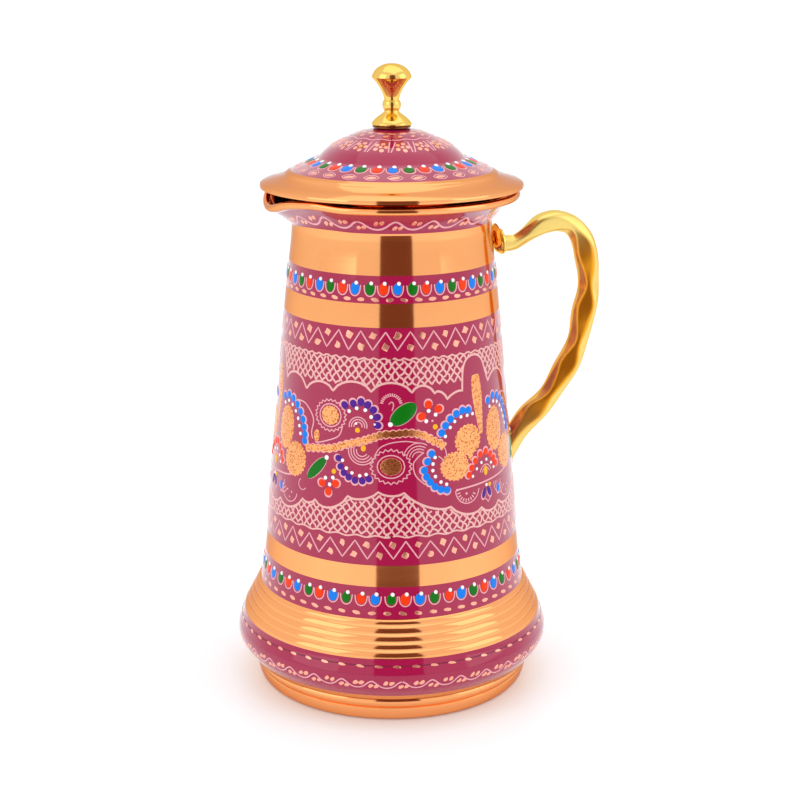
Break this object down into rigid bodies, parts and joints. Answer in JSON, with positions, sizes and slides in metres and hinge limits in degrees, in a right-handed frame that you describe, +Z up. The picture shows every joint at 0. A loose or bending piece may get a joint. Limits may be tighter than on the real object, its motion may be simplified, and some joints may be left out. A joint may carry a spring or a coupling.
{
  "type": "lidded water jug",
  "caption": "Tall tapered copper water jug with lacquered bands, a beaten spout, a lift-off domed lid with a turned brass knob, and a twisted brass handle.",
  "frame": {"origin": "on the jug's vertical axis, in the plane of the flat base it stands on", "axes": "+Z up along the jug's axis, +X towards the handle, -X towards the spout"},
  "size_m": [0.1798, 0.151, 0.2962],
  "materials": {
    "lacquered_copper": "glossy translucent magenta lacquer in bands over polished copper, with engraved line work and enamel drops",
    "copper": null,
    "brass": "polished cast and turned brass"
  },
  "bodies": {
    "jug": {"body_shell": "lacquered_copper", "base_pan": "lacquered_copper", "handle": "brass", "handle_washer": "copper", "handle_upper_screw": "brass", "handle_upper_inner_washer": "brass", "handle_lower_screw": "brass", "handle_lower_inner_washer": "brass"},
    "lid": {"lid_cover": "lacquered_copper", "lid_collar": "copper", "knob": "brass", "knob_washer": "copper", "knob_screw": "brass", "knob_inner_washer": "brass"}
  },
  "joints": [
    {"name": "lid_lift", "type": "slide", "parent": "jug", "child": "lid", "axis": [0, 0, 1], "range_m": [0, 0.08]}
  ]
}
